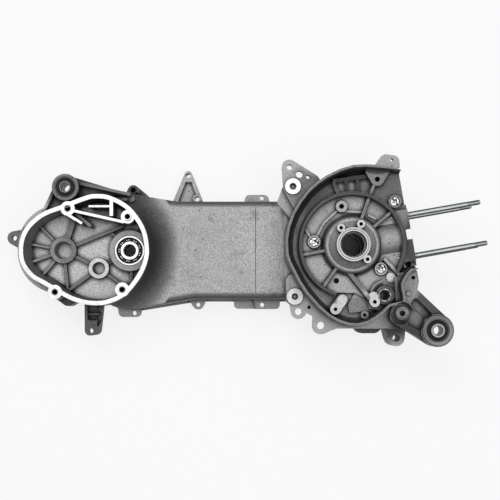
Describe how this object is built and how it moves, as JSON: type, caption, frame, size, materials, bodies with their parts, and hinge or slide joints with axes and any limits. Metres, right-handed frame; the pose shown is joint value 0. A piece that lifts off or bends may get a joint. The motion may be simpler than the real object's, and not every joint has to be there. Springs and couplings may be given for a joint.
{
  "type": "engine crankcase",
  "caption": "Bare two-part crankcase of a belt-drive scooter engine with gear housing, fan scroll, cylinder studs and rubber mounting bushes.",
  "frame": {"origin": "crank axis at the machined ring face of the flywheel side, where the crank seal bore opens", "axes": "+Z along the crank axis towards the wheel side; +X along the case from the wheel axle to the crank and on to the cylinder; the belt cover flange lies at Z = -0.128"},
  "size_m": [0.5593, 0.2218, 0.128],
  "materials": {
    "cast_aluminium": "fine sand-cast, machined faces bright",
    "plated_steel": "zinc plated",
    "ground_steel": "plain, satin",
    "bearing_steel": "ground and polished",
    "bush_rubber": "matte black",
    "bush_bronze": "oiled sintered bronze",
    "gasket_paper": "dark gasket paper"
  },
  "bodies": {
    "case": {"transmission_side_case": "cast_aluminium", "flywheel_side_case": "cast_aluminium", "case_joint_gasket": "gasket_paper", "case_dowels": "ground_steel", "case_screws": "plated_steel", "cylinder_studs": "plated_steel", "shock_bush_shell": "ground_steel", "shock_bush_rubber": "bush_rubber", "shock_bush_sleeve": "plated_steel", "engine_mount_shell": "ground_steel", "engine_mount_rubber": "bush_rubber", "engine_mount_sleeve": "plated_steel", "clutch_bearing_outer_ring": "bearing_steel", "gear_cover_dowel": "ground_steel", "clutch_shaft_seal": "bush_rubber", "starter_bush": "bush_bronze"},
    "bearing_inner": {"clutch_bearing_inner_ring": "bearing_steel"},
    "bearing_cage": {"clutch_bearing_cage": "ground_steel", "clutch_bearing_balls": "bearing_steel"}
  },
  "joints": [
    {"name": "inner_ring_spin", "type": "hinge", "parent": "case", "child": "bearing_inner", "pos_m": [-0.2556, -0.0039, -0.0605], "axis": [0, 0, 1], "continuous": true},
    {"name": "cage_spin", "type": "hinge", "parent": "case", "child": "bearing_cage", "pos_m": [-0.2556, -0.0039, -0.0605], "axis": [0, 0, 1], "continuous": true}
  ],
  "couplings": [
    {"joint": "cage_spin", "follows": "inner_ring_spin", "ratio": 0.3808}
  ]
}
